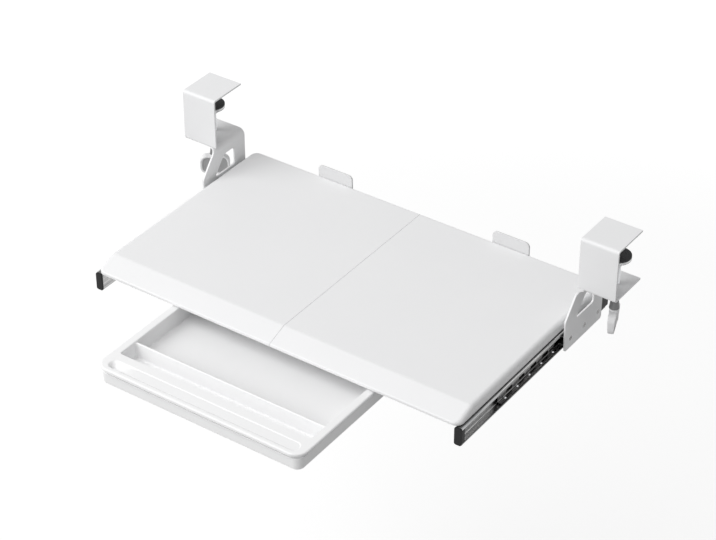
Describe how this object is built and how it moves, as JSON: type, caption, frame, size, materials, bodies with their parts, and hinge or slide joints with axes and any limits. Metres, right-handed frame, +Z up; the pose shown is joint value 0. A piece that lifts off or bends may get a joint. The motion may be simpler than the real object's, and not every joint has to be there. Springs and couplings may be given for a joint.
{
  "type": "clamp-on keyboard tray",
  "caption": "White keyboard tray in joined halves that hangs under a desk on screw clamps, runs on ball slides and holds a shallow pen drawer below its front edge.",
  "frame": {"origin": "on the tray's flat top, at the middle seam, level with the front plates of the clamps", "axes": "+X to the user's right, +Y towards the back of the desk, +Z up; the tray is drawn out towards -Y"},
  "size_m": [0.6016, 0.444, 0.1395],
  "materials": {
    "white_plastic": "satin moulded ABS",
    "white_powder_coat": "satin powder coat on bent sheet steel",
    "zinc_steel": "bright zinc plate",
    "bright_steel": "polished bearing steel",
    "black_plastic": "satin moulded plastic",
    "grey_rubber": "matt rubber"
  },
  "bodies": {
    "clamps": {"left_clamp": "white_powder_coat", "right_clamp": "white_powder_coat", "left_jaw_pad": "grey_rubber", "right_jaw_pad": "grey_rubber", "left_clamp_nut": "zinc_steel", "right_clamp_nut": "zinc_steel", "left_fixed_rail": "zinc_steel", "right_fixed_rail": "zinc_steel", "left_rail_screws": "zinc_steel", "right_rail_screws": "zinc_steel"},
    "tray": {"left_tray_half": "white_plastic", "right_tray_half": "white_plastic", "left_keyboard_stop": "white_plastic", "right_keyboard_stop": "white_plastic", "front_joint_bar": "zinc_steel", "rear_joint_bar": "zinc_steel", "front_joint_screws": "zinc_steel", "rear_joint_screws": "zinc_steel", "left_slide_hanger": "white_powder_coat", "right_slide_hanger": "white_powder_coat", "left_hanger_screws": "zinc_steel", "right_hanger_screws": "zinc_steel", "left_slide_channel": "zinc_steel", "right_slide_channel": "zinc_steel", "left_channel_screws": "zinc_steel", "right_channel_screws": "zinc_steel", "left_front_cap": "black_plastic", "right_front_cap": "black_plastic", "left_rear_bumper": "black_plastic", "right_rear_bumper": "black_plastic", "left_drawer_runner": "white_plastic", "right_drawer_runner": "white_plastic", "left_runner_screws": "zinc_steel", "right_runner_screws": "zinc_steel"},
    "left_cage": {"left_ball_cage": "zinc_steel", "left_slide_balls": "bright_steel"},
    "right_cage": {"right_ball_cage": "zinc_steel", "right_slide_balls": "bright_steel"},
    "drawer": {"drawer": "white_plastic"},
    "left_pad": {"left_pressure_pad": "zinc_steel", "left_pad_facing": "grey_rubber"},
    "right_pad": {"right_pressure_pad": "zinc_steel", "right_pad_facing": "grey_rubber"},
    "left_screw": {"left_clamp_screw": "zinc_steel", "left_knob": "white_plastic", "left_knob_collar": "zinc_steel"},
    "right_screw": {"right_clamp_screw": "zinc_steel", "right_knob": "white_plastic", "right_knob_collar": "zinc_steel"}
  },
  "joints": [
    {"name": "tray_slide", "type": "slide", "parent": "clamps", "child": "tray", "axis": [0, 1, 0], "range_m": [0, 0.14]},
    {"name": "left_cage_slide", "type": "slide", "parent": "clamps", "child": "left_cage", "axis": [0, 1, 0], "range_m": [0, 0.07]},
    {"name": "right_cage_slide", "type": "slide", "parent": "clamps", "child": "right_cage", "axis": [0, 1, 0], "range_m": [0, 0.07]},
    {"name": "drawer_slide", "type": "slide", "parent": "tray", "child": "drawer", "axis": [0, 1, 0], "range_m": [0, 0.13]},
    {"name": "left_pad_lift", "type": "slide", "parent": "clamps", "child": "left_pad", "axis": [0, 0, 1], "range_m": [-0.024, 0.014]},
    {"name": "left_screw_turn", "type": "hinge", "parent": "left_pad", "child": "left_screw", "pos_m": [-0.283, 0.034, 0.03], "axis": [0, 0, 1], "range_deg": [-6913, 4033]},
    {"name": "right_pad_lift", "type": "slide", "parent": "clamps", "child": "right_pad", "axis": [0, 0, 1], "range_m": [-0.024, 0.014]},
    {"name": "right_screw_turn", "type": "hinge", "parent": "right_pad", "child": "right_screw", "pos_m": [0.283, 0.034, 0.03], "axis": [0, 0, 1], "range_deg": [-6913, 4033]}
  ],
  "couplings": [
    {"joint": "left_cage_slide", "follows": "tray_slide", "ratio": 0.5},
    {"joint": "right_cage_slide", "follows": "tray_slide", "ratio": 0.5},
    {"joint": "left_screw_turn", "follows": "left_pad_lift", "rad_per_m": 5026.5},
    {"joint": "right_screw_turn", "follows": "right_pad_lift", "rad_per_m": 5026.5}
  ]
}
